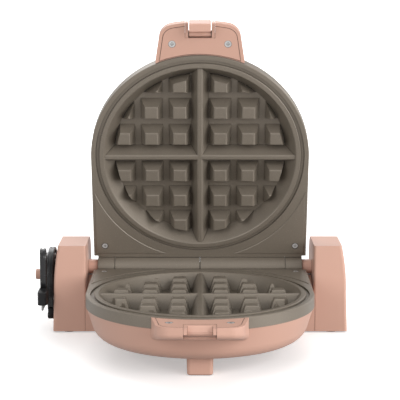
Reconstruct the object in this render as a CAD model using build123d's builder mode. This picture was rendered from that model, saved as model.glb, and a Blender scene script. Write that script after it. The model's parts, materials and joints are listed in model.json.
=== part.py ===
from build123d import *
import math
import os

os.makedirs("parts", exist_ok=True)

# Rotating waffle maker, in millimetres. The origin is on the table under the middle of the hinge line.
# +Z is up and the handles point along -Y.

# Grid plates
waffle_diameter = 180.0
cavity_depth = 14.5
cavity_slope = 9.4  # how much smaller the floor's radius is than the mouth's
rim_width = 4.5
groove_width = 3.5
groove_depth = 2.3
flange_width = 4.3
hinge_setback = 12.7  # from the hinge line to the plate's edge circle
plate_rear_edge = 11.0
half_gap = 0.15  # each rim stops this far short of the mating plane
flange_drop = 0.6
band_height = 10.25
band_wall = 2.4
slab_thickness = 4.0
cavity_floor = 3.0
block_count = 3  # blocks along each side of a quarter
block_pitch = 26.15
first_block = 18.9
block_base = 20.2
block_height = 13.0
block_taper = 18.3
block_field_radius = 80.2
block_field_taper = 2.0
rib_base = 16.0
rib_top = 4.2
edge_break = 0.7  # flats along the blocks', ribs' and flange's edges
panel_break = 0.45
mouth_break = 0.5

# Hinge
axis_height = 57.0
shaft_radius = 4.0
shaft_bore_radius = 2.4
running_fit = 0.05
knuckle_radius = 9.6
long_knuckle = (0.4, 81.9)
short_knuckle = (82.4, 98.4)
lip_gap = 0.4  # between a knuckle and the other plate's rear lip
lip_wall = 2.0
open_angle = 72.8

# Outer housings and handles
wall = 2.4
housing_depth = 40.0
housing_taper = 17.4
housing_edge_radius = 16.0
band_inset = 0.6
handle_reach = 31.7
handle_top = 1.2
handle_width = 85.5
handle_taper = 0.145
handle_corner_radius = 14.0
handle_edge_radius = 5.0
handle_front_depth = 9.7
handle_root_depth = 24.6
cover_inset = 3.0
cover_thickness = 2.0
cover_gap = 0.5  # seam round the cover
ledge_width = 2.0
notch_half_width = 13.7
notch_depth = 15.2
foot_width = 23.0
foot_length = 18.0
foot_setback = 5.9  # from the edge of the tub's flat to the foot's front

# Latch
latch_half_width = 9.8
latch_pin_radius = 1.0
latch_rest_angle = 9.0

# Base
tower_gap = 5.7  # between the plate's side and the tower's inner face
tower_bottom_width = 32.0
tower_height = 83.8
tower_straight = 36.8
tower_lean_start = 62.8
base_depth = 72.0
base_wall = 2.5
bridge_height = 13.0
foot_pad_height = 1.2
foot_pad_radius = 7.0
base_plate_thickness = 2.0
shoulder_width = 4.4
shoulder_height = 49.4
sleeve_radius = 7.0
bush_radius = 5.5

# Cord
cord_width = 6.2
cord_thickness = 3.0
cord_pitch = 5.9
cord_first_turn = 27.0
spool_radius = 6.5
spool_height = 49.4
column_gap = 0.7
plug_thickness = 9.6
plug_width = 20.0

# Sizes that follow from the driving ones
cavity_radius = waffle_diameter / 2
rim_radius = cavity_radius + rim_width
groove_radius = rim_radius + groove_width
plate_radius = groove_radius + flange_width
cavity_reach = plate_radius + hinge_setback
rim_top = -half_gap
flange_top = rim_top - flange_drop
band_bottom = flange_top - band_height
cavity_bottom = -cavity_depth
floor_radius = cavity_radius - cavity_slope
floor_under = cavity_bottom - cavity_floor
slab_under = flange_top - slab_thickness
tray_front = cavity_reach + plate_radius + handle_reach
notch_back = tray_front - notch_depth
tower_inner = plate_radius + tower_gap
tower_outer = tower_inner + tower_bottom_width
screw_seat = rim_top - 1.2
housing_slope = math.radians(housing_taper)
tub_flat_radius = (
    plate_radius
    - band_inset
    - (housing_depth + band_bottom) * math.tan(housing_slope)
    - housing_edge_radius * math.tan((math.pi / 2 - housing_slope) / 2)
)
foot_front = cavity_reach + tub_flat_radius - foot_setback
centre_axis = Axis((0, -cavity_reach, 0), (0, 0, -1))

lower_half = Plane(origin=(0, 0, axis_height), x_dir=(1, 0, 0), z_dir=(0, 0, 1))
open_radians = math.radians(open_angle)
upper_half = Plane(
    origin=(0, 0, axis_height),
    x_dir=(-1, 0, 0),
    z_dir=(0, -math.sin(open_radians), -math.cos(open_radians)),
)


def export_piece(part, name):
    part.label = name
    export_step(part, f"parts/{name}.step")


# The pieces of one half are drawn with the hinge line on X, the handle towards -Y and the mating
# plane at Z 0. Everything of the half lies below that plane.

def plate_outline(inset, rear_inset):
    # A half circle round the cavity, carried straight back to the rear edge
    rear = plate_rear_edge + rear_inset
    with Locations((0, -cavity_reach)):
        Circle(plate_radius - inset)
    with Locations((0, -(cavity_reach + rear) / 2)):
        Rectangle(2 * (plate_radius - inset), cavity_reach - rear)


# Waffle blocks: square frustums in four quarters, trimmed by a steep cone
block_span = (block_count - 1) * block_pitch
quarter_centre = first_block + block_span / 2
with BuildPart() as waffle_blocks:
    with BuildSketch(Plane.XY.offset(cavity_bottom)):
        with Locations((0, -cavity_reach)):
            with GridLocations(2 * quarter_centre, 2 * quarter_centre, 2, 2):
                with GridLocations(block_pitch, block_pitch, block_count, block_count):
                    Rectangle(block_base, block_base)
    extrude(amount=block_height, taper=block_taper)
    chamfer(waffle_blocks.faces().group_by(Axis.Z)[-1].edges(), edge_break)
    with Locations((0, -cavity_reach, cavity_bottom + block_height / 2)):
        Cone(
            block_field_radius,
            block_field_radius - block_field_taper,
            block_height,
            mode=Mode.INTERSECT,
        )

rib_slope = (rib_base - rib_top) / 2 / block_height

# Cross ribs: two trapezoid bars through the middle, ending inside the cavity's wall
rib_end = cavity_radius + 1.0
rib_shoulder = rib_top / 2 + edge_break * rib_slope
with BuildPart() as cross_ribs:
    for section_x, section_z in (((1, 0, 0), (0, -1, 0)), ((0, 1, 0), (1, 0, 0))):
        with BuildSketch(Plane(origin=(0, -cavity_reach, 0), x_dir=section_x, z_dir=section_z)):
            with BuildLine():
                Polyline(
                    (-rib_base / 2, cavity_bottom - 1.0),
                    (-rib_base / 2, cavity_bottom),
                    (-rib_shoulder, cavity_bottom + block_height - edge_break),
                    (edge_break - rib_top / 2, cavity_bottom + block_height),
                    (rib_top / 2 - edge_break, cavity_bottom + block_height),
                    (rib_shoulder, cavity_bottom + block_height - edge_break),
                    (rib_base / 2, cavity_bottom),
                    (rib_base / 2, cavity_bottom - 1.0),
                    close=True,
                )
            make_face()
        extrude(amount=rib_end, both=True)
    with Locations((0, -cavity_reach, (cavity_bottom - 1.0) / 2)):
        Cone(floor_radius + 1.0, rib_end, cavity_depth + 1.0, mode=Mode.INTERSECT)

# Grid plate: slab, side band, rim, overflow groove, corner panels, bowl, blocks and knuckles
panel_ledge = plate_rear_edge + 3.0
panel_side = plate_radius - 2.3
panel_circle = groove_radius + 8.0
arm_height = knuckle_radius - 0.2 + flange_top
arm_reach = plate_rear_edge + band_wall - 0.4
corner_screw_x = cavity_radius + 1.6
corner_screw_v = panel_ledge + 8.3


def raised_outline():
    # The two corner panels and the disc whose edge is the rim
    with Locations((0, -(cavity_reach + panel_ledge) / 2)):
        Rectangle(2 * panel_side, cavity_reach - panel_ledge)
    with Locations((0, -cavity_reach)):
        Circle(panel_circle, mode=Mode.SUBTRACT)
        Circle(rim_radius)


with BuildPart() as grid_plate:
    with BuildSketch(Plane.XY.offset(flange_top - edge_break)):
        plate_outline(0, 0)
    extrude(amount=edge_break, taper=45)
    with BuildSketch(Plane.XY.offset(flange_top - edge_break)):
        plate_outline(0, 0)
    extrude(amount=edge_break - slab_thickness)
    with BuildSketch(Plane.XY.offset(flange_top - edge_break)):
        plate_outline(0, 0)
        with BuildSketch(mode=Mode.SUBTRACT):
            plate_outline(band_wall, band_wall)
    extrude(amount=edge_break - band_height)
    with BuildSketch(Plane.XY.offset(slab_under + 1.0)):
        raised_outline()
    extrude(amount=rim_top - panel_break - slab_under - 1.0)
    with BuildSketch(Plane.XY.offset(rim_top - panel_break)):
        raised_outline()
    extrude(amount=panel_break, taper=45)
    with Locations((0, -cavity_reach, (slab_under + floor_under) / 2)):
        Cone(floor_radius + cavity_floor, cavity_radius + cavity_floor - 2.0, slab_under - floor_under)
    with BuildSketch(Plane.XY.offset(rim_top - groove_depth)):
        with Locations((0, -cavity_reach)):
            Circle(groove_radius)
            Circle(rim_radius, mode=Mode.SUBTRACT)
    extrude(amount=cavity_depth, mode=Mode.SUBTRACT)
    with Locations((0, -cavity_reach, (rim_top + cavity_bottom) / 2)):
        Cone(floor_radius, cavity_radius, rim_top - cavity_bottom, mode=Mode.SUBTRACT)
    with Locations((0, -cavity_reach, rim_top - mouth_break / 2)):
        Cone(
            cavity_radius - mouth_break * cavity_slope / cavity_depth,
            cavity_radius + mouth_break,
            mouth_break,
            mode=Mode.SUBTRACT,
        )
    add(waffle_blocks.part)
    add(cross_ribs.part)
    for start, end in ((-long_knuckle[1], -long_knuckle[0]), short_knuckle):
        with Locations(Location(((start + end) / 2, 0, 0), (0, 90, 0))):
            Cylinder(knuckle_radius, end - start)
        with Locations(((start + end) / 2, -arm_reach / 2, flange_top - arm_height / 2)):
            Box(end - start, arm_reach, arm_height)
    with BuildSketch(Plane.YZ):
        Circle(knuckle_radius + lip_gap + lip_wall)
        Circle(knuckle_radius + lip_gap, mode=Mode.SUBTRACT)
        Polygon(
            (0, 0),
            (-2 * plate_rear_edge, 2 * flange_top),
            (-2 * plate_rear_edge, -2 * plate_rear_edge),
            align=None,
            mode=Mode.INTERSECT,
        )
    extrude(amount=short_knuckle[1], both=True)
    with Locations(Location((0, 0, 0), (0, 90, 0))):
        Cylinder(shaft_radius + running_fit, 3 * plate_radius, mode=Mode.SUBTRACT)
    with Locations(
        (-corner_screw_x, -corner_screw_v, rim_top),
        (corner_screw_x, -corner_screw_v, rim_top),
    ):
        CounterBoreHole(1.5 + running_fit, 3.2, 1.2, cavity_depth)

# Outer housing: a tapered, round-bottomed tub with the handle tray in one moulding
def housing_section(inset, half_width):
    # Right half of the tub's cross section, from the joint with the band down to the flat bottom
    run_in = (housing_depth - inset + band_bottom) * math.tan(housing_slope)
    top_width = half_width - inset / math.cos(housing_slope)
    with BuildLine() as border:
        Polyline(
            (0, band_bottom),
            (top_width, band_bottom),
            (top_width - run_in, inset - housing_depth),
            (0, inset - housing_depth),
            close=True,
        )
    make_face(border.line)
    fillet(vertices().group_by(Axis.Y)[0].sort_by(Axis.X)[-1], housing_edge_radius - inset)


def housing_form(inset):
    # The straight part behind the cavity's centre has the same section on its sides and its rear
    with BuildSketch() as half_section:
        housing_section(inset, plate_radius - band_inset)
    with BuildSketch() as rear_section:
        housing_section(inset, cavity_reach - plate_rear_edge - band_inset)
    with BuildPart() as straight:
        with BuildSketch(Plane.XZ.offset(cavity_reach)):
            add(half_section.sketch)
            mirror(half_section.sketch, about=Plane.YZ)
        extrude(amount=-cavity_reach)
        with BuildSketch(Plane.YZ.shift_origin((0, -cavity_reach, 0))):
            add(rear_section.sketch)
        extrude(amount=plate_radius, both=True, mode=Mode.INTERSECT)
    with BuildPart() as form:
        with BuildSketch(Plane.XZ.offset(cavity_reach)):
            add(half_section.sketch)
        revolve(axis=centre_axis, revolution_arc=180)
        add(straight.part)
    return form.part


def tray_outline(inset):
    # Trapezoid with an arc for its front edge and round front corners
    root_half = handle_width / 2
    front_half = root_half - handle_taper * (handle_reach + 30.0)
    root_v = cavity_reach + plate_radius - 22.0
    with BuildSketch() as outline:
        Polygon(
            (-root_half, -root_v),
            (-front_half, -(tray_front + 8.0)),
            (front_half, -(tray_front + 8.0)),
            (root_half, -root_v),
            align=None,
        )
        with Locations((0, -cavity_reach)):
            Circle(plate_radius + handle_reach, mode=Mode.INTERSECT)
        fillet(outline.vertices().sort_by(Axis.Y)[:2], handle_corner_radius)
        if inset:
            offset(amount=-inset)
    return outline.sketch


def tray_form(plan_inset, skin, top):
    # The tray is shallow at its front and deepens towards the tub
    root_v = cavity_reach + plate_radius - 22.0
    with BuildPart() as form:
        with BuildSketch():
            add(tray_outline(plan_inset))
        extrude(amount=-housing_depth)
        with BuildSketch(Plane.YZ):
            Polygon(
                (-root_v, -top),
                (-tray_front - 1.0, -top),
                (-tray_front - 1.0, skin - handle_front_depth),
                (-root_v, skin - handle_root_depth),
                align=None,
            )
        extrude(amount=handle_width, both=True, mode=Mode.INTERSECT)
    return form.part


def notch_outline(margin):
    # Slot for the catch or the latch, open at the handle's front
    length = notch_depth + margin + 8.0
    with Locations((0, -(notch_back - margin + length / 2))):
        Rectangle(2 * (notch_half_width + margin), length)


with BuildPart() as tray_body:
    add(tray_form(0, 0, handle_top))
    fillet(tray_body.faces().sort_by(Axis.Z)[0].edges().sort_by(Axis.Y)[:-1], handle_edge_radius)

with BuildPart() as tray_pocket:
    add(tray_form(cover_inset + ledge_width, wall, handle_top + cover_thickness))
    with BuildSketch(Plane.XY.offset(-housing_depth)):
        with Locations((0, -cavity_reach)):
            Circle(plate_radius + cover_inset + 0.5)
        notch_outline(wall)
    extrude(amount=housing_depth, mode=Mode.SUBTRACT)

latch_pivot_v = notch_back + 2.8
latch_pivot_z = -4.6
handle_screw_x = 25.4
handle_screw_v = tray_front - 20.9
tower_post_v = plate_rear_edge + 11.3
post_radius = 3.6
reflector_z = -27.0
support_radius = 50.0
foot_back = foot_front - foot_length
foot_centre_v = (foot_front + foot_back) / 2
lens_x = 10.0
lens_v = 60.0
lens_radius = 3.0

# Posts inside the tub carry the plate's screws and the reflector
with BuildPart() as tub_posts:
    with BuildSketch(Plane.XY.offset(-housing_depth)):
        with Locations((-corner_screw_x, -corner_screw_v), (corner_screw_x, -corner_screw_v)):
            Circle(post_radius)
    extrude(amount=housing_depth + slab_under - running_fit)
    with BuildSketch(Plane.XY.offset(-housing_depth)):
        with Locations((0, -cavity_reach)):
            with PolarLocations(support_radius, 3, start_angle=30):
                Circle(post_radius)
    extrude(amount=housing_depth + reflector_z - running_fit)
with BuildPart() as tub_envelope:
    add(housing_form(0))
    with BuildSketch(Plane.XY.offset(band_bottom)):
        plate_outline(band_wall + half_gap, band_wall + half_gap)
    extrude(amount=-band_bottom)
with BuildPart() as housing_posts:
    add(tub_posts.part)
    add(tub_envelope.part, mode=Mode.INTERSECT)

with BuildPart() as handle_posts:
    with BuildSketch(Plane.XY.offset(-handle_top - cover_thickness)):
        with Locations((-handle_screw_x, -handle_screw_v), (handle_screw_x, -handle_screw_v)):
            Circle(4.0)
    extrude(amount=-housing_depth)
    add(tray_body.part, mode=Mode.INTERSECT)

with BuildPart() as shell:
    add(tray_body.part)
    with BuildSketch(Plane.XY.offset(band_bottom)):
        with Locations((0, -cavity_reach)):
            Circle(plate_radius + 0.5)
    extrude(amount=-band_bottom, mode=Mode.SUBTRACT)
    add(housing_form(0))
    with BuildSketch(Plane.XY.offset(-housing_depth)):
        notch_outline(0)
    extrude(amount=housing_depth, mode=Mode.SUBTRACT)
    with BuildSketch(Plane.XY.offset(-handle_top - cover_thickness)):
        add(tray_outline(cover_inset))
        with Locations((0, -cavity_reach)):
            Circle(plate_radius + 0.9, mode=Mode.SUBTRACT)
    extrude(amount=cover_thickness + 1.0, mode=Mode.SUBTRACT)
    add(tray_pocket.part, mode=Mode.SUBTRACT)
    add(housing_form(wall), mode=Mode.SUBTRACT)
    with BuildSketch(Plane.XY.offset(band_bottom - 3.0)):
        plate_outline(band_wall + half_gap, band_wall + half_gap)
        with BuildSketch(mode=Mode.SUBTRACT):
            plate_outline(band_wall + half_gap + 1.9, band_wall + half_gap + 1.9)
    extrude(amount=6.5)
    add(housing_posts.part)
    add(handle_posts.part)
    with BuildSketch(Plane.XY.offset(-18.0)):
        with Locations((-corner_screw_x, -corner_screw_v), (corner_screw_x, -corner_screw_v)):
            Circle(1.5 + running_fit)
    extrude(amount=18.0, mode=Mode.SUBTRACT)
    with BuildSketch(Plane.XY.offset(-11.0)):
        with Locations((-handle_screw_x, -handle_screw_v), (handle_screw_x, -handle_screw_v)):
            Circle(1.4 + running_fit)
    extrude(amount=11.0, mode=Mode.SUBTRACT)
    with Locations(Location((0, -latch_pivot_v, latch_pivot_z), (0, 90, 0))):
        Cylinder(latch_pin_radius + running_fit, 2 * (notch_half_width + wall) + 4.0, mode=Mode.SUBTRACT)
    with BuildSketch(Plane.XY.offset(-housing_depth)):
        with Locations((0, -foot_centre_v)):
            Circle(2.0 + running_fit)
        with Locations((-lens_x, -lens_v), (lens_x, -lens_v)):
            Circle(lens_radius + running_fit)
    extrude(amount=wall, mode=Mode.SUBTRACT)

# Handle cover: a flush panel with the same notch and two screw seats
with BuildPart() as handle_cover:
    with BuildSketch(Plane.XY.offset(-handle_top - cover_thickness)):
        add(tray_outline(cover_inset + cover_gap))
        with Locations((0, -cavity_reach)):
            Circle(plate_radius + 0.9 + cover_gap, mode=Mode.SUBTRACT)
        with BuildSketch(mode=Mode.SUBTRACT):
            notch_outline(0)
    extrude(amount=cover_thickness)
    with Locations(
        (-handle_screw_x, -handle_screw_v, -handle_top),
        (handle_screw_x, -handle_screw_v, -handle_top),
    ):
        CounterBoreHole(1.4 + running_fit, 3.4, 1.1, cover_thickness)


def screw_pair(half_spacing, v, seat, head_radius, head_height, shank_radius, shank_length):
    # Two pan-head screws driven down along -Z, each with a cross slot
    with BuildPart() as pair:
        for x in (-half_spacing, half_spacing):
            with BuildSketch(Plane.XY.offset(seat)):
                with Locations((x, -v)):
                    Circle(head_radius)
            extrude(amount=head_height)
            with BuildSketch(Plane.XY.offset(seat)):
                with Locations((x, -v)):
                    Circle(shank_radius)
            extrude(amount=-shank_length)
            with BuildSketch(Plane.XY.offset(seat + head_height)):
                with Locations((x, -v)):
                    Rectangle(head_radius * 1.1, head_radius * 0.26)
                    Rectangle(head_radius * 0.26, head_radius * 1.1)
            extrude(amount=-head_height * 0.6, mode=Mode.SUBTRACT)
    return pair


corner_screw_length = 12.0
handle_screw_length = 7.0
corner_screws = screw_pair(
    corner_screw_x, corner_screw_v, screw_seat, 2.6, 1.0, 1.5, corner_screw_length
)
handle_screws = screw_pair(
    handle_screw_x, handle_screw_v, -handle_top - 1.1, 3.15, 0.9, 1.4, handle_screw_length
)

# Heating element: an open ring under the cavity with two legs to the rear
element_radius = 3.25
ring_radius = 62.0
leg_x = 8.0
leg_bend = 8.0
leg_end_v = 36.0
element_z = floor_under - element_radius - half_gap
bend_x = leg_x + leg_bend
bend_y = math.sqrt((ring_radius + leg_bend) ** 2 - bend_x**2) - cavity_reach
bend_turn = math.degrees(math.asin(bend_x / (ring_radius + leg_bend)))
with BuildPart() as heating_element:
    with BuildLine(Plane.XY.offset(element_z)):
        Line((-leg_x, -leg_end_v), (-leg_x, bend_y))
        CenterArc((-bend_x, bend_y), leg_bend, 0, -90 + bend_turn)
        CenterArc((0, -cavity_reach), ring_radius, 90 + bend_turn, 360 - 2 * bend_turn)
        CenterArc((bend_x, bend_y), leg_bend, 270 - bend_turn, -90 + bend_turn)
        Line((leg_x, bend_y), (leg_x, -leg_end_v))
    with BuildSketch(Plane(origin=(-leg_x, -leg_end_v, element_z), z_dir=(0, -1, 0))):
        Circle(element_radius)
    sweep()

# Reflector: a shallow sheet dish on the three supports
reflector_radius = 86.0
sheet = 0.8
with BuildPart() as reflector:
    with BuildSketch(Plane.XZ.offset(cavity_reach)):
        with BuildLine():
            Polyline(
                (0, reflector_z),
                (reflector_radius - 6.0, reflector_z),
                (reflector_radius, reflector_z + 4.0),
                (reflector_radius - sheet, reflector_z + 4.0 + sheet / 2),
                (reflector_radius - 6.0 - sheet / 2, reflector_z + sheet),
                (0, reflector_z + sheet),
                close=True,
            )
        make_face()
    revolve(axis=centre_axis)

# Thermostat and thermal fuse, between the cavity's underside and the reflector
reflector_top = reflector_z + sheet
with BuildPart() as thermostat:
    with BuildSketch(Plane.XY.offset(reflector_top + running_fit)):
        with Locations((0, -cavity_reach)):
            Circle(8.0)
    extrude(amount=floor_under - reflector_top - 2 * running_fit)
    with BuildSketch(Plane.XY.offset(reflector_top + 3.0)):
        with Locations((0, -cavity_reach)):
            Rectangle(26.0, 5.0)
    extrude(amount=1.0)
fuse_radius = 2.2
fuse_length = 14.0
fuse_offset = 45.0  # behind the cavity's centre
with BuildPart() as thermal_fuse:
    with BuildSketch(Plane.YZ.offset(18.0)):
        with Locations((fuse_offset - cavity_reach, reflector_top + fuse_radius + running_fit)):
            Circle(fuse_radius)
    extrude(amount=fuse_length)

# Lead wires from the element's legs, along the rear of the tub
wire_radius = 1.2
lead_reach = 50.0  # from each leg towards the tub's side
lead_setback = 13.0
with BuildPart() as leads:
    for side in (-1, 1):
        wire_points = [
            (side * leg_x, -leg_end_v + 0.1),
            (side * leg_x, -leg_end_v + 6.0),
            (side * (leg_x + 22.0), -leg_end_v + lead_setback - 1.0),
            (side * (leg_x + lead_reach), -leg_end_v + lead_setback),
        ]
        with BuildLine(Plane.XY.offset(element_z)) as wire_line:
            FilletPolyline(*wire_points, radius=3.0)
        with BuildSketch(Plane(origin=wire_line.line @ 0, z_dir=wire_line.line % 0)):
            Circle(wire_radius)
        sweep(path=wire_line.line)

# Front foot under the tub, with its screw from inside
foot_height = axis_height - housing_depth
with BuildPart() as foot:
    with BuildSketch(Plane.XY.offset(-housing_depth)):
        with Locations((0, -foot_centre_v)):
            RectangleRounded(foot_width, foot_length, 3.5)
    extrude(amount=-foot_height, taper=1.3)
    fillet(foot.faces().sort_by(Axis.Z)[0].edges(), 2.0)
    with BuildSketch(Plane.XY.offset(-housing_depth)):
        with Locations((0, -foot_centre_v)):
            Circle(2.0 + running_fit)
    extrude(amount=-8.0, mode=Mode.SUBTRACT)
with BuildPart() as foot_screw:
    with BuildSketch(Plane.XY.offset(wall - housing_depth)):
        with Locations((0, -foot_centre_v)):
            Circle(4.0)
    extrude(amount=1.6)
    with BuildSketch(Plane.XY.offset(wall - housing_depth)):
        with Locations((0, -foot_centre_v)):
            Circle(2.0)
    extrude(amount=-wall - 7.5)

# Indicator lenses in the tub's flat face
with BuildPart() as indicator_lenses:
    with BuildSketch(Plane.XY.offset(-housing_depth)):
        with Locations((-lens_x, -lens_v), (lens_x, -lens_v)):
            Circle(lens_radius)
    extrude(amount=wall)
    with BuildSketch(Plane.XY.offset(wall - housing_depth)):
        with Locations((-lens_x, -lens_v), (lens_x, -lens_v)):
            Circle(lens_radius + 1.0)
    extrude(amount=1.2)

half_pieces = {
    "grid_plate": grid_plate,
    "shell": shell,
    "handle_cover": handle_cover,
    "handle_screws": handle_screws,
    "corner_screws": corner_screws,
    "heating_element": heating_element,
    "reflector": reflector,
    "thermostat": thermostat,
    "thermal_fuse": thermal_fuse,
    "leads": leads,
    "foot": foot,
    "foot_screw": foot_screw,
    "indicator_lenses": indicator_lenses,
}
for half_name, half in (("lower", lower_half), ("upper", upper_half)):
    for piece_name, piece in half_pieces.items():
        with BuildPart() as placed:
            with Locations(half.location):
                add(piece.part)
        export_piece(placed.part, f"{half_name}_{piece_name}")

# Catch: an insert in the lower handle's notch with a bar that the latch hooks under
insert_half_width = notch_half_width - 0.2
cheek_inner = latch_half_width + 0.8
catch_bottom = -9.5
bar_front = notch_back + 9.0
bar_under = -7.7
insert_back = notch_back + 0.1
insert_front = tray_front - 1.0
with BuildPart() as catch:
    with BuildSketch(Plane.YZ):
        Polygon(
            (-insert_back, -handle_top - 0.2),
            (-insert_front, -handle_top - 0.2),
            (-insert_front, catch_bottom + 2.7),
            (-insert_back, catch_bottom - 2.0),
            align=None,
        )
    extrude(amount=insert_half_width, both=True)
    with BuildSketch(Plane.YZ):
        Polygon(
            (-(notch_back + 4.6), 0),
            (-(notch_back + 4.6), -handle_top - 0.2),
            (-bar_front, -5.5),
            (-bar_front, bar_under),
            (-(bar_front - 2.8), bar_under),
            (-(bar_front - 2.8), -housing_depth),
            (-(tray_front + 2.0), -housing_depth),
            (-(tray_front + 2.0), 0),
            align=None,
        )
    extrude(amount=cheek_inner, both=True, mode=Mode.SUBTRACT)

# Latch carrier: an insert in the upper handle's notch with a cheek on each side of the latch
with BuildPart() as latch_carrier:
    with BuildSketch(Plane.YZ):
        Polygon(
            (-insert_back, -handle_top - 0.2),
            (-insert_front, -handle_top - 0.2),
            (-insert_front, catch_bottom + 2.7),
            (-insert_back, catch_bottom - 3.5),
            align=None,
        )
    extrude(amount=insert_half_width, both=True)
    with BuildSketch(Plane.YZ):
        Polygon(
            (-(notch_back - 1.0), 0),
            (-(notch_back - 1.0), latch_pivot_z - 5.0),
            (-(notch_back + 4.0), latch_pivot_z - 5.0),
            (-(notch_back + 4.0), -housing_depth),
            (-(tray_front + 2.0), -housing_depth),
            (-(tray_front + 2.0), 0),
            align=None,
        )
    extrude(amount=cheek_inner, both=True, mode=Mode.SUBTRACT)
    with Locations(Location((0, -latch_pivot_v, latch_pivot_z), (0, 90, 0))):
        Cylinder(latch_pin_radius + running_fit, 4 * notch_half_width, mode=Mode.SUBTRACT)

# Latch: a barrel, a web, an outer plate and a nose that hooks under the catch's bar
nose_top = -bar_under + 0.4
nose_inner_v = bar_front - 1.2
latch_front = tray_front - 0.2
latch_inner_v = bar_front + 2.4
with BuildPart() as engaged_latch:
    with BuildSketch(Plane.YZ):
        Polygon(
            (-latch_inner_v, -9.5),
            (-latch_front, -9.5),
            (-latch_front, nose_top + 2.5),
            (-nose_inner_v, nose_top + 2.5),
            (-nose_inner_v, nose_top),
            (-latch_inner_v, nose_top),
            (-latch_inner_v, -4.0),
            (-latch_pivot_v, -4.0),
            (-latch_pivot_v, -7.0),
            (-latch_inner_v, -7.0),
            align=None,
        )
        with Locations((-latch_pivot_v, latch_pivot_z)):
            Circle(2.5)
    extrude(amount=latch_half_width, both=True)
    fillet(engaged_latch.faces().sort_by(Axis.Y)[0].edges(), 1.0)
    with Locations(Location((0, -latch_pivot_v, latch_pivot_z), (0, 90, 0))):
        Cylinder(latch_pin_radius + running_fit, 4 * latch_half_width, mode=Mode.SUBTRACT)
latch_axis = Axis((0, -latch_pivot_v, latch_pivot_z), (1, 0, 0))
resting_latch = engaged_latch.part.rotate(latch_axis, latch_rest_angle)

with BuildPart() as latch_pin:
    with Locations(Location((0, -latch_pivot_v, latch_pivot_z), (0, 90, 0))):
        Cylinder(latch_pin_radius, 2 * (notch_half_width + wall) + 3.0)

for name, half, piece in (
    ("lower_catch", lower_half, catch.part),
    ("upper_latch_carrier", upper_half, latch_carrier.part),
    ("latch", upper_half, resting_latch),
    ("latch_pin", upper_half, latch_pin.part),
):
    with BuildPart() as placed:
        with Locations(half.location):
            add(piece)
    export_piece(placed.part, name)

# Hinge shaft: a hollow steel tube, fixed in the lower half, grooved at each end for a ring
shaft_half = tower_inner + 8.0
washer_inner = tower_inner + base_wall + 0.1
clip_inner = washer_inner + 1.1
clip_thickness = 1.2
clip_radius = 5.6
groove_root = shaft_radius - 0.6
with BuildPart() as hinge_shaft:
    with BuildSketch(Plane.YZ):
        with Locations((0, axis_height)):
            Circle(shaft_radius)
            Circle(shaft_bore_radius, mode=Mode.SUBTRACT)
    extrude(amount=shaft_half, both=True)
    for side in (-1, 1):
        with BuildSketch(Plane.YZ.offset(side * clip_inner)):
            with Locations((0, axis_height)):
                Circle(shaft_radius + 1.0)
                Circle(groove_root, mode=Mode.SUBTRACT)
        extrude(amount=side * clip_thickness, mode=Mode.SUBTRACT)
export_piece(hinge_shaft.part, "hinge_shaft")

with BuildPart() as shaft_washers:
    for side in (-1, 1):
        with BuildSketch(Plane.YZ.offset(side * washer_inner)):
            with Locations((0, axis_height)):
                Circle(sleeve_radius)
                Circle(shaft_radius + running_fit, mode=Mode.SUBTRACT)
        extrude(amount=side * 1.0)
export_piece(shaft_washers.part, "shaft_washers")

with BuildPart() as shaft_clips:
    for side in (-1, 1):
        with BuildSketch(Plane.YZ.offset(side * (clip_inner + 0.1))):
            with Locations((0, axis_height)):
                Circle(clip_radius)
                Circle(groove_root + running_fit, mode=Mode.SUBTRACT)
        extrude(amount=side * (clip_thickness - 0.2))
export_piece(shaft_clips.part, "shaft_clips")

# Trunnion bushes in the sleeves of the towers
sleeve_end = short_knuckle[1] + 0.5
for side_name, side in (("left", -1), ("right", 1)):
    with BuildPart() as bush:
        with BuildSketch(Plane.YZ.offset(side * sleeve_end)):
            with Locations((0, axis_height)):
                Circle(bush_radius)
                Circle(shaft_radius + running_fit, mode=Mode.SUBTRACT)
        extrude(amount=side * (washer_inner - 0.1 - sleeve_end))
    export_piece(bush.part, f"{side_name}_bush")

# Base housing: two towers, two shoulders, two sleeves and a low bridge, open underneath
base_bottom = foot_pad_height
mid_height = base_bottom + tower_straight
upper_height = base_bottom + tower_lean_start
rear_top_radius = 22.0
front_top_radius = 7.0


def tower_section(inset):
    # Outer side leans in as it rises, with a long arc above the straight foot
    top = tower_height - inset
    with BuildLine() as border:
        Line((tower_inner + inset, base_bottom), (tower_outer - inset, base_bottom))
        Line((tower_outer - inset, base_bottom), (tower_outer - 1.2 - inset, mid_height))
        ThreePointArc(
            (tower_outer - 1.2 - inset, mid_height),
            (tower_outer - 2.6 - inset, upper_height),
            (tower_outer - 5.8 - inset, top),
        )
        Line((tower_outer - 5.8 - inset, top), (tower_inner + inset, top))
        Line((tower_inner + inset, top), (tower_inner + inset, base_bottom))
    make_face(border.line)


def tower_form(inset):
    half_depth = base_depth / 2 - inset
    height = tower_height - base_bottom - inset
    with BuildPart() as form:
        with BuildSketch(Plane.XZ):
            tower_section(inset)
        extrude(amount=base_depth, both=True)
        with BuildSketch(Plane.YZ):
            with Locations((0, base_bottom + height / 2)):
                Rectangle(2 * half_depth, height)
            side_corners = vertices().group_by(Axis.Y)[-1].sort_by(Axis.X)
            fillet(side_corners[-1], rear_top_radius - inset)
            fillet(side_corners[0], front_top_radius - inset)
        extrude(amount=2 * tower_outer, both=True, mode=Mode.INTERSECT)
    return form.part


with BuildPart() as tower_body:
    add(tower_form(0))
    front_edges = tower_body.faces().filter_by(Plane.XZ).sort_by(Axis.Y)[0].edges()
    fillet(front_edges.group_by(Axis.X)[-1], 2.5)
    front_edges = tower_body.faces().filter_by(Plane.XZ).sort_by(Axis.Y)[0].edges()
    fillet(front_edges.group_by(Axis.X)[0], 2.2)

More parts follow.
